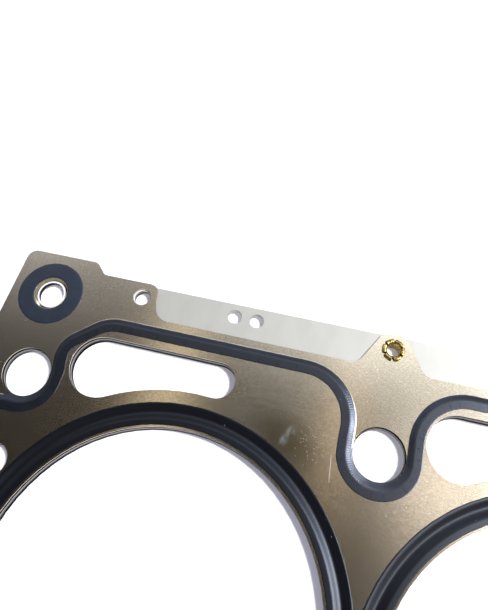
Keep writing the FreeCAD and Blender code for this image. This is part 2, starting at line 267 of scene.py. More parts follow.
# The camera sees the room white; the metal sees the card, the panels and the walls
def addRoom():
    world = bpy.data.worlds.new("room")
    bpy.context.scene.world = world
    world.use_nodes = True
    tree = world.node_tree
    tree.nodes.clear()
    place = addNode(tree, "ShaderNodeTexCoord")
    ray = addNode(tree, "ShaderNodeSeparateXYZ", {0: place.outputs["Generated"]}).outputs
    height = addNode(tree, "ShaderNodeMath", {
        "operation": "MAXIMUM", 0: ray["Z"], 1: studio["lowestSlope"]})
    across = addNode(tree, "ShaderNodeMath", {"operation": "DIVIDE", 0: ray["X"], 1: height})
    away = addNode(tree, "ShaderNodeMath", {"operation": "DIVIDE", 0: ray["Y"], 1: height})
    slope = addNode(tree, "ShaderNodeCombineXYZ", {"X": across, "Y": away})
    cardX, cardY, cardInner, cardOuter = studio["card"]
    fromCard = addNode(tree, "ShaderNodeVectorMath", {
        "operation": "DISTANCE", 0: slope, 1: (cardX, cardY, 0)})
    clear = addNode(tree, "ShaderNodeMapRange", {
        "interpolation_type": "SMOOTHSTEP", "Value": fromCard,
        "From Min": cardInner, "From Max": cardOuter})
    walls = addNode(tree, "ShaderNodeMix", {
        "data_type": "RGBA", 0: clear, 6: colour(studio["cardDark"]), 7: colour(studio["roomWalls"])})
    for x, y, halfX, halfY, tint, strength in studio["panels"]:
        local = addNode(tree, "ShaderNodeMapping", {
            "vector_type": "TEXTURE", "Vector": slope, "Location": (x, y, 0), "Scale": (halfX, halfY, 1)})
        squared = addNode(tree, "ShaderNodeVectorMath", {"operation": "DOT_PRODUCT", 0: local, 1: local})
        falling = addNode(tree, "ShaderNodeMath", {"operation": "MULTIPLY", 0: squared, 1: -1.0})
        fade = addNode(tree, "ShaderNodeMath", {"operation": "EXPONENT", 0: falling})
        lit = (*(part * strength for part in colour(tint)[:3]), 1.0)
        walls = addNode(tree, "ShaderNodeMix", {
            "data_type": "RGBA", "blend_type": "ADD", 0: fade, 6: walls, 7: lit})
    rays = addNode(tree, "ShaderNodeLightPath").outputs
    seen = addNode(tree, "ShaderNodeMath", {
        "operation": "MAXIMUM", 0: rays["Is Camera Ray"], 1: rays["Is Transmission Ray"]})
    shown = addNode(tree, "ShaderNodeMix", {
        "data_type": "RGBA", 0: rays["Is Diffuse Ray"], 6: walls, 7: colour(studio["roomShade"])})
    shown = addNode(tree, "ShaderNodeMix", {"data_type": "RGBA", 0: seen, 6: shown, 7: (1, 1, 1, 1)})
    back = addNode(tree, "ShaderNodeBackground", {"Color": shown})
    addNode(tree, "ShaderNodeOutputWorld", {"Surface": back})


softbox = addLamp("softbox", studio["boxSlope"], studio["boxSize"], studio["boxPower"])
softbox.visible_diffuse = False
key = addLamp("key", studio["keySlope"], studio["keySize"], studio["keyPower"])
key.visible_glossy = False
addFloor()
addRoom()
bpy.context.scene.view_settings.view_transform = "Standard"
print("studio lit")

# Cold rolled spring steel with a thin bronze lacquer: satin, with fine grain along the coil
springSteel = {
    "tint": "#dcd0bd",
    "deepTint": "#d3c6b0",
    "mottle": {"size": (26.0, 15.0, 5.0), "low": 0.35, "high": 0.65},
    "roughness": 0.185,
    "anisotropy": 0.5,              # blurs reflections more across the rolling direction
    # Real grain is near 0.05 mm wide; it is drawn wider to show, and so is the pepper
    "grain": {"size": (9.0, 0.5, 5.0), "low": 0.3, "high": 0.7, "detail": 2.0},
    "grainRoughness": 0.004,
    "grainHeight": 0.00008,         # mm
    "pepper": {"size": (0.5, 0.3, 0.5), "low": 0.35, "high": 0.65},
    "pepperShade": 0.82,
    "sparkle": {"cell": 0.55, "radius": 0.12, "share": 0.3},
    "sparkleGain": 0.45,
    # Painted shade: one patch of the steel is painted darker
    "paintedShadePatch": {"x": -109.6, "y": 42.2, "halfX": 13.5, "halfY": 8.0, "turn": -28.5, "hardness": 0.1},
    "paintedShadePatchTint": "#a4987f",
    "dust": {"cell": 1.7, "radius": 0.1, "share": 0.2},
    "thickDust": {"cell": 0.51, "radius": 0.1, "share": 0.5},
    "dustyPatch": {"x": -103.5, "y": 41.5, "halfX": 6.5, "halfY": 7.0, "turn": 0.0, "hardness": 0.2},
    "scratch": {"x": -98.35, "y": 38.0, "halfX": 0.09, "halfY": 4.0, "turn": 5.0, "hardness": 0.4},
    "dustTint": "#d8d2c4",
    "smudge": {"x": -109.2, "y": 43.0, "halfX": 1.7, "halfY": 4.0, "turn": -28.0, "hardness": 0.1},
    "smudgeWisps": {"size": (1.1, 1.9, 1.0), "low": 0.38, "high": 0.72, "detail": 4.0},
    "smudgeTint": "#a7bccb",
    "smudgeStrength": 0.85,
    "dirtDulling": 0.45,            # how much less metallic the dirt looks
    "dirtRoughness": 0.35,
    "shadedInnerFace": "#0d0c0b",         # painted shade on the faces that look into the stack
    "innerTilt": 0.5,               # how squarely a face has to look inwards for that
    # painted shade on the lower sheet's cut edges, which lie in the dark
    "shadedLowerEdge": "#1a1612",
    "edgeTilt": 0.3,                # up to this much turned up or down, a face is an edge
    "bevel": 0.06,                  # mm
    "bevelSamples": 4,
}


def springSteelMaterial():
    s = springSteel
    material, tree = newMaterial("bronzeLacqueredSpringSteel")
    grain = noiseMask(tree, **s["grain"])
    base = addNode(tree, "ShaderNodeMix", {
        "data_type": "RGBA", 0: noiseMask(tree, **s["mottle"]),
        6: colour(s["tint"]), 7: colour(s["deepTint"])})
    pepper = addNode(tree, "ShaderNodeMapRange", {
        "Value": noiseMask(tree, **s["pepper"]), "To Min": s["pepperShade"], "To Max": 1.0})
    shade = addNode(tree, "ShaderNodeMath", {
        "operation": "MULTIPLY_ADD", 0: speckMask(tree, **s["sparkle"]), 1: s["sparkleGain"], 2: pepper})
    base = addNode(tree, "ShaderNodeVectorMath", {"operation": "SCALE", 0: base, "Scale": shade})

    # Dirt: dust all over, thicker over one patch, a scratch, and a smudge
    thickDust = addNode(tree, "ShaderNodeMath", {
        "operation": "MULTIPLY", 0: speckMask(tree, **s["thickDust"]),
        1: patchMask(tree, **s["dustyPatch"])})
    dirt = patchMask(tree, **s["scratch"])
    for specks in (speckMask(tree, **s["dust"]), thickDust):
        dirt = addNode(tree, "ShaderNodeMath", {"operation": "MAXIMUM", 0: dirt, 1: specks})
    smudge = addNode(tree, "ShaderNodeMath", {
        "operation": "MULTIPLY", 0: patchMask(tree, **s["smudge"]), 1: noiseMask(tree, **s["smudgeWisps"])})
    smear = addNode(tree, "ShaderNodeMath", {"operation": "MULTIPLY", 0: smudge, 1: s["smudgeStrength"]})
    soiled = addNode(tree, "ShaderNodeMath", {"operation": "MAXIMUM", 0: dirt, 1: smudge})
    metal = addNode(tree, "ShaderNodeMapRange", {
        "Value": soiled, "To Min": 1.0, "To Max": 1 - s["dirtDulling"]})
    rolled = addNode(tree, "ShaderNodeMapRange", {
        "Value": grain, "To Min": s["roughness"] - s["grainRoughness"],
        "To Max": s["roughness"] + s["grainRoughness"]})
    rough = addNode(tree, "ShaderNodeMath", {
        "operation": "MULTIPLY_ADD", 0: dirt, 1: s["dirtRoughness"], 2: rolled})

    # Painted shade: the faces inside the stack and the lower sheet's punched edges are painted dark
    place = addNode(tree, "ShaderNodeTexCoord").outputs
    facing = addNode(tree, "ShaderNodeSeparateXYZ", {0: place["Normal"]}).outputs["Z"]
    height = addNode(tree, "ShaderNodeSeparateXYZ", {0: place["Object"]}).outputs["Z"]
    fromMiddle = addNode(tree, "ShaderNodeMath", {
        "operation": "SUBTRACT", 0: height, 1: stack["middle"] * mm})
    outward = addNode(tree, "ShaderNodeMath", {"operation": "SIGN", 0: fromMiddle})
    facingOut = addNode(tree, "ShaderNodeMath", {"operation": "MULTIPLY", 0: facing, 1: outward})
    inner = addNode(tree, "ShaderNodeMath", {"operation": "LESS_THAN", 0: facingOut, 1: -s["innerTilt"]})
    tilt = addNode(tree, "ShaderNodeMath", {"operation": "ABSOLUTE", 0: facing})
    upright = addNode(tree, "ShaderNodeMath", {"operation": "LESS_THAN", 0: tilt, 1: s["edgeTilt"]})
    lower = addNode(tree, "ShaderNodeMath", {"operation": "LESS_THAN", 0: fromMiddle, 1: 0.0})
    lowerEdge = addNode(tree, "ShaderNodeMath", {"operation": "MULTIPLY", 0: upright, 1: lower})

    layers = [(patchMask(tree, **s["paintedShadePatch"]), "paintedShadePatchTint"), (dirt, "dustTint"),
              (smear, "smudgeTint"), (inner, "shadedInnerFace"), (lowerEdge, "shadedLowerEdge")]
    for mask, tint in layers:
        base = addNode(tree, "ShaderNodeMix", {"data_type": "RGBA", 0: mask, 6: base, 7: colour(s[tint])})
    rounded = addNode(tree, "ShaderNodeBevel", {"samples": s["bevelSamples"], "Radius": s["bevel"] * mm})
    bump = addNode(tree, "ShaderNodeBump", {
        "Distance": s["grainHeight"] * mm, "Height": grain, "Normal": rounded})
    crossways = addNode(tree, "ShaderNodeCombineXYZ", {"Y": 1.0})
    shader = addNode(tree, "ShaderNodeBsdfPrincipled", {
        "Base Color": base, "Metallic": metal, "Roughness": rough, "Normal": bump,
        "Anisotropic": s["anisotropy"], "Tangent": crossways})
    addNode(tree, "ShaderNodeOutputMaterial", {"Surface": shader})
    return material


# Rolled steel plate, pale grey and dull on its faces, with a dark torn band and a
# burnished band on its punched edges
plateSteel = {
    "tint": "#c3c1b7",
    "paleTint": "#bebcb2",
    "clouds": {"size": (3.5, 9.0, 3.0), "low": 0.35, "high": 0.65},
    "sheen": 0.50,                  # how metallic the dull faces look
    "wallSheen": 0.30,
    "roughness": 0.46,
    # The rolled surface is finer than this in fact, and is drawn coarser to show
    "fine": {"size": (0.35, 0.5, 0.6), "low": 0.3, "high": 0.7},
    "fineRoughness": 0.03,
    "fineHeight": 0.0012,           # mm
    "pits": {"cell": 2.3, "radius": 0.09, "share": 0.24},
    "pitTint": "#67656a",
    "wallTilt": (0.4, 0.7),         # up to the first a face is a wall, from the second it lies flat
    "tornAndShade": "#0e0c0b",              # dark of the torn band; also painted shade on the oil port walls and on the faces that the sheets cover
    "burnished": "#8d8a86",
    "burnishedBand": (1.85, 2.55, 0.06),    # mm above the floor, from, to and softness
    "bareStrip": (151.2, 63.0),     # within this far along and beyond this far across it lies bare
    "portRim": (178.1, 65.1, 3.76),     # place and radius of the painted highlight on the flat rim inside each oil port
    "pinRim": (153.75, 69.3, 2.6),      # and inside each locating pin hole
    "paintedLightRimTint": "#efeee8",
    "mirror": 0.5,
    # the oil port walls, painted as shade, mirror little
    "shadedPortWallMirror": 0.05,
}


def plateSteelMaterial():
    s = plateSteel
    material, tree = newMaterial("rolledPlateSteel")
    fine = noiseMask(tree, **s["fine"])
    rough = addNode(tree, "ShaderNodeMapRange", {
        "Value": fine, "To Min": s["roughness"] - s["fineRoughness"],
        "To Max": s["roughness"] + s["fineRoughness"]})
    base = addNode(tree, "ShaderNodeMix", {
        "data_type": "RGBA", 0: noiseMask(tree, **s["clouds"]),
        6: colour(s["tint"]), 7: colour(s["paleTint"])})

    place = addNode(tree, "ShaderNodeTexCoord").outputs
    facing = addNode(tree, "ShaderNodeSeparateXYZ", {0: place["Normal"]}).outputs["Z"]
    spot = addNode(tree, "ShaderNodeSeparateXYZ", {0: place["Object"]}).outputs
    tilt = addNode(tree, "ShaderNodeMath", {"operation": "ABSOLUTE", 0: facing})
    upright, flat = s["wallTilt"]
    wall = addNode(tree, "ShaderNodeMapRange", {"Value": tilt, "From Min": flat, "From Max": upright})
    face = addNode(tree, "ShaderNodeMapRange", {"Value": tilt, "From Min": upright, "From Max": flat})
    band = between(tree, spot["Z"], *s["burnishedBand"])
    edge = addNode(tree, "ShaderNodeMix", {
        "data_type": "RGBA", 0: band, 6: colour(s["tornAndShade"]), 7: colour(s["burnished"])})

    # The sheets cover all but the strip along the rear edge
    stripX, stripY = s["bareStrip"]
    along = addNode(tree, "ShaderNodeMath", {"operation": "ABSOLUTE", 0: spot["X"]})
    pastEnd = addNode(tree, "ShaderNodeMath", {"operation": "GREATER_THAN", 0: along, 1: stripX * mm})
    inFront = addNode(tree, "ShaderNodeMath", {"operation": "LESS_THAN", 0: spot["Y"], 1: stripY * mm})
    covered = addNode(tree, "ShaderNodeMath", {"operation": "MAXIMUM", 0: pastEnd, 1: inFront})
    coveredWall = addNode(tree, "ShaderNodeMath", {"operation": "MULTIPLY", 0: wall, 1: covered})

    # All four corners are alike, so each place is folded onto one of them
    corner = addNode(tree, "ShaderNodeVectorMath", {"operation": "ABSOLUTE", 0: place["Object"]})
    corner = addNode(tree, "ShaderNodeVectorMath", {"operation": "MULTIPLY", 0: corner, 1: (1, 1, 0)})
    insides = []
    for x, y, radius in (s["portRim"], s["pinRim"]):
        away = addNode(tree, "ShaderNodeVectorMath", {
            "operation": "DISTANCE", 0: corner, 1: (x * mm, y * mm, 0)})
        insides.append(addNode(tree, "ShaderNodeMath", {"operation": "LESS_THAN", 0: away, 1: radius * mm}))
    inPort, inPin = insides
    inHole = addNode(tree, "ShaderNodeMath", {"operation": "MAXIMUM", 0: inPort, 1: inPin})
    # Painted highlight: the flat rim inside each oil port and pin hole is painted near white and not
    # metallic, so it shows lit
    rim = addNode(tree, "ShaderNodeMath", {"operation": "MULTIPLY", 0: inHole, 1: face})
    # Painted shade: the oil port walls and the flat faces that the sheets cover are painted dark
    portWall = addNode(tree, "ShaderNodeMath", {"operation": "MULTIPLY", 0: inPort, 1: wall})
    plain = addNode(tree, "ShaderNodeMath", {"operation": "SUBTRACT", 0: face, 1: rim})
    hidden = addNode(tree, "ShaderNodeMath", {"operation": "MULTIPLY", 0: covered, 1: plain})

    layers = [(speckMask(tree, **s["pits"]), colour(s["pitTint"])), (coveredWall, edge),
              (rim, colour(s["paintedLightRimTint"])), (portWall, colour(s["tornAndShade"])), (hidden, colour(s["tornAndShade"]))]
    for mask, tint in layers:
        base = addNode(tree, "ShaderNodeMix", {"data_type": "RGBA", 0: mask, 6: base, 7: tint})
    metal = addNode(tree, "ShaderNodeMapRange", {
        "Value": wall, "To Min": s["sheen"], "To Max": s["wallSheen"]})
    metal = addNode(tree, "ShaderNodeMapRange", {"Value": rim, "To Min": metal, "To Max": 0.0})
    mirror = addNode(tree, "ShaderNodeMapRange", {
        "Value": portWall, "To Min": s["mirror"], "To Max": s["shadedPortWallMirror"]})
    bump = addNode(tree, "ShaderNodeBump", {"Distance": s["fineHeight"] * mm, "Height": fine})
    shader = addNode(tree, "ShaderNodeBsdfPrincipled", {
        "Base Color": base, "Metallic": metal, "Roughness": rough, "Specular IOR Level": mirror,
        "Normal": bump})
    addNode(tree, "ShaderNodeOutputMaterial", {"Surface": shader})
    return material


# Screen-printed nitrile rubber: blue-black, smooth enough to mirror the softbox softly.
# The press leaves fine ticks across the sloping half and fainter marks on the raised half.
rubber = {
    "pressed": {"shades": ("#0b0e15", "#10141c"), "mirror": 0.75, "roughness": 0.27},
    "bore": {"shades": ("#05070b", "#080a10"), "mirror": 0.42, "roughness": 0.33},
    "port": {"shades": ("#1f252f", "#232a34"), "mirror": 0.7, "roughness": 0.27},
    "mirrorTint": "#eaf0ff",
    "ior": 1.5,
    "clouds": {"size": (4.0, 4.0, 2.0), "low": 0.35, "high": 0.65},
    # Grit of the printed skin, drawn coarser than it is so that it shows
    "grit": {"size": (0.35, 0.35, 0.35), "low": 0.3, "high": 0.7},
    "gritRoughness": 0.004,
    "gritHeight": 0.0002,           # mm
    "specks": {"cell": 1.5, "radius": 0.11, "share": 0.15},
    "speckTint": "#9aa2ad",
    # Ticks 0.55 mm apart are about the finest that the render shows; the real ones may lie closer
    "ticks": {"spacing": 0.55, "width": 0.3, "wander": 0.25},
    "tickBand": (0.35, 1.6, 0.2),   # mm outwards from the print's middle: from, to and softness
    "tickPatches": {"size": (6.0, 6.0, 6.0), "low": 0.4, "high": 0.6, "detail": 2.0},
    "faintest": 0.35,               # strength left where the ticks fade
    "tickDepth": 0.03,              # mm
    "marks": {"spacing": 2.4, "width": 0.07, "wander": 0.35},
    "markBand": (-1.5, -0.1, 0.15),
    "markPatches": {"size": (3.0, 3.0, 3.0), "low": 0.42, "high": 0.6, "detail": 2.0},
    "markTint": "#07080b",
    "markDulling": 0.5,
}


def rubberMaterial(name, coat, ticked=False):
    s = rubber
    material, tree = newMaterial(name)
    grit = noiseMask(tree, **s["grit"])
    shade, otherShade = coat["shades"]
    base = addNode(tree, "ShaderNodeMix", {
        "data_type": "RGBA", 0: noiseMask(tree, **s["clouds"]), 6: colour(shade), 7: colour(otherShade)})
    base = addNode(tree, "ShaderNodeMix", {
        "data_type": "RGBA", 0: speckMask(tree, **s["specks"]), 6: base, 7: colour(s["speckTint"])})
    rough = addNode(tree, "ShaderNodeMapRange", {
        "Value": grit, "To Min": coat["roughness"] - s["gritRoughness"],
        "To Max": coat["roughness"] + s["gritRoughness"]})
    mirror = coat["mirror"]
    normal = addNode(tree, "ShaderNodeBump", {"Distance": s["gritHeight"] * mm, "Height": grit})
    if ticked:
        along, across = alongAndAcross(tree)
        strength = addNode(tree, "ShaderNodeMapRange", {
            "Value": noiseMask(tree, **s["tickPatches"]), "To Min": s["faintest"], "To Max": 1.0})
        sloping = addNode(tree, "ShaderNodeMath", {
            "operation": "MULTIPLY", 0: between(tree, across, *s["tickBand"]), 1: strength})
        ticks = addNode(tree, "ShaderNodeMath", {
            "operation": "MULTIPLY", 0: tickMask(tree, along, **s["ticks"]), 1: sloping})
        normal = addNode(tree, "ShaderNodeBump", {
            "invert": True, "Distance": s["tickDepth"] * mm, "Height": ticks, "Normal": normal})
        raised = addNode(tree, "ShaderNodeMath", {
            "operation": "MULTIPLY", 0: between(tree, across, *s["markBand"]),
            1: noiseMask(tree, **s["markPatches"])})
        marks = addNode(tree, "ShaderNodeMath", {
            "operation": "MULTIPLY", 0: tickMask(tree, along, **s["marks"]), 1: raised})
        base = addNode(tree, "ShaderNodeMix", {
            "data_type": "RGBA", 0: marks, 6: base, 7: colour(s["markTint"])})
        mirror = addNode(tree, "ShaderNodeMapRange", {
            "Value": marks, "To Min": coat["mirror"], "To Max": coat["mirror"] - s["markDulling"]})
    shader = addNode(tree, "ShaderNodeBsdfPrincipled", {
        "Base Color": base, "Roughness": rough, "IOR": s["ior"], "Specular IOR Level": mirror,
        "Specular Tint": colour(s["mirrorTint"]), "Normal": normal})
    addNode(tree, "ShaderNodeOutputMaterial", {"Surface": shader})
    return material


# Drawn brass, bright on the rolled crown and painted darker in the folds between petals
brass = {
    "tint": "#ccb06b",
    "tarnish": "#5c4a20",
    "clouds": {"size": (0.7, 0.7, 0.5), "low": 0.4, "high": 0.7},
    "cloudHeight": 0.02,            # mm
    "roughness": 0.18,
    "tarnishRoughness": 0.36,
    "fold": "#1d1507",
    "foldWidth": 0.17,              # as a share of a petal
    "foldFrom": 3.45,               # mm along the section, where the lip has just turned over
    "foldTo": 3.85,
}


def brassMaterial():
    s = brass
    material, tree = newMaterial("drawnBrass")
    clouds = noiseMask(tree, **s["clouds"])
    base = addNode(tree, "ShaderNodeMix", {
        "data_type": "RGBA", 0: clouds, 6: colour(s["tint"]), 7: colour(s["tarnish"])})
    along, across = alongAndAcross(tree)
    petalWidth = 2 * math.pi * petalEyelet["innerR"] / petalEyelet["petals"]
    folds = tickMask(tree, along, petalWidth, s["foldWidth"], 0.0)
    rolled = addNode(tree, "ShaderNodeMapRange", {
        "Value": across, "From Min": s["foldFrom"] * mm, "From Max": s["foldTo"] * mm})
    folded = addNode(tree, "ShaderNodeMath", {"operation": "MULTIPLY", 0: folds, 1: rolled})
    base = addNode(tree, "ShaderNodeMix", {"data_type": "RGBA", 0: folded, 6: base, 7: colour(s["fold"])})
    rough = addNode(tree, "ShaderNodeMapRange", {
        "Value": clouds, "To Min": s["roughness"], "To Max": s["tarnishRoughness"]})
    bump = addNode(tree, "ShaderNodeBump", {"Distance": s["cloudHeight"] * mm, "Height": clouds})
    shader = addNode(tree, "ShaderNodeBsdfPrincipled", {
        "Base Color": base, "Metallic": 1.0, "Roughness": rough, "Normal": bump})
    addNode(tree, "ShaderNodeOutputMaterial", {"Surface": shader})
    return material


# Where the rubber runs, in mm: the same route and rings as the printed areas on the steel
rubberRoute = {
    # Corners round the left rear end, each with its radius
    "left": [(-159.9, 60.2, 9.0), (-169.4, 52.1, 6.0), (-168.2, 45.5, 6.0), (-168.2, 35.1, 7.9),
             (-185.0, 35.1, 5.5)],
    "boltOffset": 8.0,
    "sideY": 60.2,
    "rowY": 35.1,
    "shoulderR": 12.0,
    "boltR": 7.9,
    "halfWidth": 1.75,
    "flankOut": 1.9,                # the half bead's slope, outwards from the route
    "flankIn": 0.2,
    "edgeDrop": 0.05,               # the printed edge rounds off over this width
    "edgePoint": 0.3,               # share of that width at which the rounding has a point
    "edgeHeight": 0.25,             # share of the print's thickness at its very edge
    "embed": 0.03,
    "across": 22,
    "holeReach": 2.5,               # a bolt hole this close draws the print out to its edge
    "holeClear": 0.02,
    "wobble": 0.06,                 # unevenness of the printed edges
    "wobbleRate": 2.1,              # how fast it changes along the edge
    "wobbleSide": 7.3,              # and from one edge to the other
    "wobbleFade": 8,                # power by which it fades towards the print's middle
}
rubberRings = {
    "boreInner": 39.2,
    "boreOuter": 44.6,
    "beadInner": 40.8,
    "beadOuter": 43.9,
    "beadDepth": 0.5,
    "beadSpread": 1.28,             # half widths from the bead's middle to its foot
    "boreEmbed": 0.02,
    "boreAcross": 34,
    "boreSteps": 300,
    "portPlace": (178.1, 65.1),
    "portInner": 4.5,
    "portOuter": 8.7,
    "portAcross": 10,
    "portSteps": 120,
    "wobbleCircle": 40.0,           # circle on which a ring's unevenness is read
}


# Corners of the closed route, anticlockwise, each with its radius
def routeCorners():
    r = rubberRoute
    rear = [(-x, y, radius) for x, y, radius in reversed(r["left"])]
    for x in reversed(gapXs):
        right, left = x + r["boltOffset"], x - r["boltOffset"]
        rear += [(right, r["sideY"], r["shoulderR"]), (right, r["rowY"], r["boltR"]),
                 (left, r["rowY"], r["boltR"]), (left, r["sideY"], r["shoulderR"])]
    rear += r["left"]
    return rear + [(x, -y, radius) for x, y, radius in reversed(rear)]


# Points along the rounded route with the way out of the loop at each, and the length so far
def followRoute(corners, arcStep=math.radians(3.0), lineStep=1.5):
    spans = []
    for i, (x, y, radius) in enumerate(corners):
        before, corner, after = (Vector(corners[j][:2]) for j in (i - 1, i, (i + 1) % len(corners)))
        goingIn, goingOut = (corner - before).normalized(), (after - corner).normalized()
        turn = -goingIn.angle_signed(goingOut)
        reach = radius * math.tan(abs(turn) / 2)
        spans.append((corner - goingIn * reach, corner + goingOut * reach, goingIn, turn, radius))
    track = []
    for i, (start, end, goingIn, turn, radius) in enumerate(spans):
        side = 1 if turn > 0 else -1
        centre = start + Vector((-goingIn.y, goingIn.x)) * radius * side
        steps = max(2, round(abs(turn) / arcStep))
        for k in range(steps + 1):
            spoke = Vector((goingIn.y, -goingIn.x)) * side
            spoke.rotate(Matrix.Rotation(turn * k / steps, 2))
            track.append((centre + spoke * radius, spoke * side))
        onward = spans[(i + 1) % len(spans)][0]
        lines = int((onward - end).length / lineStep)
        out = track[-1][1]
        for k in range(1, lines):
            track.append((end + (onward - end) * k / lines, out))
    lengths = [0.0]
    for (here, _), (there, _) in zip(track, track[1:] + track[:1]):
        lengths.append(lengths[-1] + (there - here).length)
    return track, lengths


def smooth(t):
    t = min(1.0, max(0.0, t))
    return t * t * (3 - 2 * t)


# Small unevenness of a printed edge, the same every time; side runs from -1 to 1 across the print
def printWobble(x, y, side):
    r = rubberRoute
    spot = Vector((x * r["wobbleRate"], y * r["wobbleRate"], side * r["wobbleSide"]))
    return r["wobble"] * noise.noise(spot) * side ** r["wobbleFade"]


# Closed skin through rings of (x, y, z) points, with their places along and across kept as UVs
def skin(name, strips, turnedOver=False):
    vertices, faces, places = [], [], []
    for rings, along, across in strips:
        first = len(vertices)
        rows, columns = len(rings), len(rings[0])
        for ring in rings:
            for x, y, z in ring:
                height = 2 * stack["middle"] - z if turnedOver else z
                vertices.append((x * mm, y * mm, height * mm))
        for i in range(rows):
            for j in range(columns):
                face = [(i, j), (i + 1, j), (i + 1, j + 1), (i, j + 1)]
                faces.append([first + a % rows * columns + b % columns for a, b in face])
                places.append([(along[a] * mm, across[b] * mm) for a, b in face])
                if turnedOver:
                    faces[-1].reverse()
                    places[-1].reverse()
    mesh = bpy.data.meshes.new(name)
    mesh.from_pydata(vertices, [], faces)
    layer = mesh.uv_layers.new(name="alongAndAcross")
    for polygon, spots in zip(mesh.polygons, places):
        polygon.use_smooth = True
        for loop, spot in zip(polygon.loop_indices, spots):
            layer.data[loop].uv = spot
    piece = bpy.data.objects.new(name, mesh)
    bpy.context.scene.collection.objects.link(piece)
    return piece


# Print's section: the top from its outer to its inner edge, then back along the steel under it
def section(offsets, topHeight, steelHeight, embed):
    low = rubberRoute["edgeHeight"]
    top = []
    for offset in offsets:
        edge = min(abs(offset - offsets[0]), abs(offset - offsets[-1])) / rubberRoute["edgeDrop"]
        rise = math.sqrt(max(0.0, 1 - (1 - min(edge, 1.0)) ** 2))
        steel = steelHeight(offset)
        top.append((offset, steel + (topHeight(offset) - steel) * (low + (1 - low) * rise)))
    under = [(offset, steelHeight(offset) - embed) for offset in reversed(offsets)]
    return top + under


def printOffsets(start, end, count):
    drop = rubberRoute["edgeDrop"] * (1 if end > start else -1)
    point = drop * rubberRoute["edgePoint"]
    inside = [start + drop + (end - start - 2 * drop) * i / count for i in range(count + 1)]
    return [start, start + point] + inside + [end - point, end]


# How far up the half bead's slope a distance outwards from the route lies
def upTheFlank(offset):
    r = rubberRoute
    return (r["flankOut"] - offset) / (r["flankOut"] - r["flankIn"])


def halfBead(offset):
    return stack["sheetTop"] + stack["raise"] * smooth(upTheFlank(offset))


def halfBeadSteel(offset):
    return stack["sheetTop"] + stack["raise"] * min(1.0, max(0.0, upTheFlank(offset)))


# How much the print's outer side stretches to meet the edge of a bolt hole close by
def reachToHole(point):
    r = rubberRoute
    for boltX in boltXs:
        away = math.hypot(point.x - boltX, abs(point.y) - stack["boltRowY"]) - stack["boltHoleR"]
        if abs(point.y) < stack["boltRowY"] and away < r["holeReach"]:
            return max(1.0, away / r["halfWidth"])
    return 1.0


# A place moved out of the bolt holes, so that the print ends at their edge
def clearOfHoles(x, y):
    clear = stack["boltHoleR"] + rubberRoute["holeClear"]
    for boltX in boltXs:
        for boltY in (-stack["boltRowY"], stack["boltRowY"]):
            away = Vector((x - boltX, y - boltY))
            if away.length < clear:
                away = away.normalized() * clear
                x, y = boltX + away.x, boltY + away.y
    return x, y


def coolantPrint(name, turnedOver):
    r = rubberRoute
    track, lengths = followRoute(routeCorners())
    offsets = printOffsets(r["halfWidth"], -r["halfWidth"], r["across"])
    profile = section(offsets, lambda offset: halfBead(offset) + stack["coat"], halfBeadSteel, r["embed"])
    rings = []
    for point, out in track:
        reach = reachToHole(point)
        ring = []
        for offset, z in profile:
            side = offset / r["halfWidth"]
            moved = offset * (reach if offset > 0 else 1) + printWobble(point.x, point.y, side)
            ring.append((*clearOfHoles(*(point + out * moved)), z))
        rings.append(ring)
    across = [offset for offset, z in profile] + [profile[0][0]]
    return skin(name, [(rings, lengths, across)], turnedOver)


# Depth of the full bead round a bore at a radius
def fullBead(radius):
    r = rubberRings
    half = (r["beadOuter"] - r["beadInner"]) / 2
    fromMiddle = abs(radius - (r["beadInner"] + r["beadOuter"]) / 2) / half
    return r["beadDepth"] * smooth(1 - fromMiddle / r["beadSpread"])


# One printed ring with its lengths along and across; limits cut it straight where rings meet
def ringStrip(centreX, centreY, inner, outer, profile, steps, limits=(-math.inf, math.inf)):
    lookup = rubberRings["wobbleCircle"]
    rings = []
    for k in range(steps):
        alongX, alongY = math.cos(2 * math.pi * k / steps), math.sin(2 * math.pi * k / steps)
        ring = []
        for radius, z in profile:
            side = (radius - (inner + outer) / 2) / (outer - inner) * 2
            radius += printWobble(centreX + lookup * alongX, centreY + lookup * alongY, side)
            x, y = centreX + radius * alongX, centreY + radius * alongY
            ring.append((min(limits[1], max(limits[0], x)), y, z))
        rings.append(ring)
    lengths = [2 * math.pi * outer * k / steps for k in range(steps + 1)]
    return rings, lengths, [radius for radius, z in profile] + [outer]


def borePrint(name, turnedOver):
    r = rubberRings
    raised = stack["sheetTop"] + stack["raise"]
    half = stack["pitch"] / 2
    offsets = printOffsets(r["boreOuter"], r["boreInner"], r["boreAcross"])
    profile = section(offsets, lambda radius: raised + stack["coat"] - fullBead(radius),
                      lambda radius: raised - fullBead(radius) - r["boreEmbed"], rubberRoute["embed"])
    strips = []
    for i, x in enumerate(boreXs):
        left = x - half if i > 0 else -math.inf
        right = x + half if i < len(boreXs) - 1 else math.inf
        strips.append(ringStrip(x, 0, r["boreInner"], r["boreOuter"], profile, r["boreSteps"],
                                (left, right)))
    return skin(name, strips, turnedOver)


def portPrint(name, side, end, turnedOver):
    r = rubberRings
    x, y = r["portPlace"]
    level = stack["sheetTop"]
    offsets = printOffsets(r["portOuter"], r["portInner"], r["portAcross"])
    profile = section(offsets, lambda radius: level + stack["coat"], lambda radius: level,
                      rubberRoute["embed"])
    strip = ringStrip(end * x, side * y, r["portInner"], r["portOuter"], profile, r["portSteps"])
    return skin(name, [strip], turnedOver)


def addPrint(piece, node, material):
    piece.data.materials.append(material)
    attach(piece, "root")
    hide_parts(node)


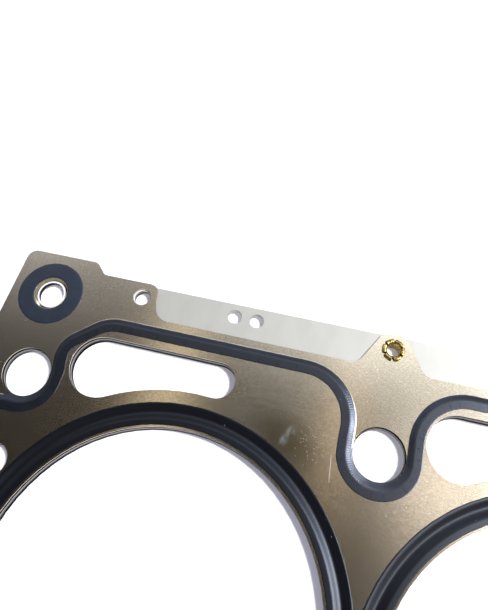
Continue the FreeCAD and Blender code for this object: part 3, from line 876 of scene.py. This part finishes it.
# Brass eyelets: a tube with a flange below, and a lip rolled over into six petals on top; in mm
petalEyelet = {
    "y": 69.1,
    "innerR": 1.68,
    "outerR": 2.05,
    "tipR": 2.88,
    "tipSpread": 0.09,              # petals differ by up to this much
    "notchR": 2.36,
    "lipHeight": 0.56,
    "heightSpread": 0.05,
    "notchHeight": 0.40,
    "petals": 6,
    "firstNotch": 31.0,             # degrees
    "notchHalf": 1.5,
    "notchEase": 8.0,
    "petalFullness": 0.5,           # power that squares up a petal's outline
    "petalSeed": 3.1,               # where in the noise a petal's and an eyelet's unevenness is read
    "eyeletSeed": 1.7,
    "sideSeed": 5.0,
    "archFullness": (0.75, 0.62),   # powers that square up the arch of the lip, across and up
    "lipGap": 0.01,
    "lipInset": 0.1,
    "tubeLevels": (1.2, 2.6),
    "flangeR": 2.9,
    "flangeLow": 0.18,
    "flangeHigh": 0.4,
    "mouthRound": (0.05, 0.06),
    "neckRound": 0.03,
    "neckDrop": 0.05,
    "flangeTopRound": 0.04,
    "flangeRound": 0.05,
    "sharpAngle": 50,
    "steps": 180,
    "archSteps": 12,
}


# Section of an eyelet from the flange up the bore, over the lip and back down outside
def eyeletSection(tip, height):
    e = petalEyelet
    inner, outer, flange = e["innerR"], e["outerR"], e["flangeR"]
    low, high, top = e["flangeLow"], e["flangeHigh"], stack["sheetTop"]
    mouthOut, mouthUp = e["mouthRound"]
    profile = [(inner + mouthOut, low), (inner, low + mouthUp)]
    profile += [(inner, level) for level in e["tubeLevels"]]
    middle, half = (inner + tip) / 2, (tip - inner) / 2
    acrossPower, upPower = e["archFullness"]
    for i in range(e["archSteps"] + 1):
        t = math.pi * i / e["archSteps"]
        sway = math.copysign(abs(math.cos(t)) ** acrossPower, math.cos(t))
        profile.append((middle - half * sway, top + height * math.sin(t) ** upPower))
    return profile + [
        (tip - e["lipInset"], top + e["lipGap"]), (outer + e["neckRound"], top + e["lipGap"]),
        (outer, top - e["neckDrop"]), (outer, high + e["neckRound"]), (outer + e["neckRound"], high),
        (flange - e["flangeTopRound"], high), (flange, high - e["flangeTopRound"]),
        (flange, low + e["flangeRound"]), (flange - e["flangeRound"], low)]


def eyelet(name, x, y, seed):
    e = petalEyelet
    petalTurn = 360 / e["petals"]
    rings = []
    for k in range(e["steps"]):
        degrees = 360 * k / e["steps"]
        fromNotch = abs((degrees - e["firstNotch"] + petalTurn / 2) % petalTurn - petalTurn / 2)
        petal = int((degrees - e["firstNotch"]) % 360 / petalTurn)
        full = smooth((fromNotch - e["notchHalf"]) / e["notchEase"]) ** e["petalFullness"]
        spot = Vector((petal * e["petalSeed"] + seed, seed * e["eyeletSeed"], 0.5))
        uneven = noise.noise(spot)
        tip = e["notchR"] + (e["tipR"] - e["notchR"] + e["tipSpread"] * uneven) * full
        height = e["notchHeight"] + (e["lipHeight"] - e["notchHeight"] + e["heightSpread"] * uneven) * full
        profile = eyeletSection(tip, height)
        angle = math.radians(degrees)
        rings.append([(x + r * math.cos(angle), y + r * math.sin(angle), z) for r, z in profile])
    turns = [360 * k / e["steps"] - e["firstNotch"] for k in range(e["steps"] + 1)]
    along = [e["innerR"] * math.radians(turn) for turn in turns]
    across = [0.0]
    for (r0, z0), (r1, z1) in zip(profile, profile[1:] + profile[:1]):
        across.append(across[-1] + math.hypot(r1 - r0, z1 - z0))
    piece = skin(name, [(rings, along, across)])
    piece.data.set_sharp_from_angle(angle=math.radians(e["sharpAngle"]))
    return piece


def dress(node, material):
    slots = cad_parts[node].data.materials
    if len(slots) == 0:
        slots.append(material)
    for i in range(len(slots)):
        slots[i] = material


sheetSteel = springSteelMaterial()
barePlate = plateSteelMaterial()
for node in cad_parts:
    if node.endswith("sheet"):
        dress(node, sheetSteel)
    elif node == "middle_plate":
        dress(node, barePlate)
print("sheets and plate finished")

boreRubber = rubberMaterial("printedNitrileRubber", rubber["bore"])
portRubber = rubberMaterial("thickPrintedNitrileRubber", rubber["port"])
coolantRubber = rubberMaterial("pressedNitrileRubber", rubber["pressed"], ticked=True)
sides = ((1, "rear"), (-1, "front"))
ends = ((-1, "left"), (1, "right"))
for face, turnedOver in (("top", False), ("bottom", True)):
    addPrint(coolantPrint(face + "CoolantPrint", turnedOver), face + "_coolant_coating", coolantRubber)
    addPrint(borePrint(face + "BorePrint", turnedOver), face + "_bore_coating", boreRubber)
    for side, sideName in sides:
        for end, endName in ends:
            place = sideName + "_" + endName
            piece = portPrint(face + "PortPrint_" + place, side, end, turnedOver)
            addPrint(piece, face + "_port_coating_" + place, portRubber)
print("rubber printed round bores, coolant and ports")

eyeletBrass = brassMaterial()
for side, sideName in sides:
    for i, x in enumerate(gapXs):
        place = sideName + "_" + str(i + 1)
        seed = i + side * petalEyelet["sideSeed"]
        piece = eyelet("petalEyelet_" + place, x, side * petalEyelet["y"], seed)
        piece.data.materials.append(eyeletBrass)
        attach(piece, "root")
        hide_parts("eyelet_" + place)
print("eyelets rolled over")
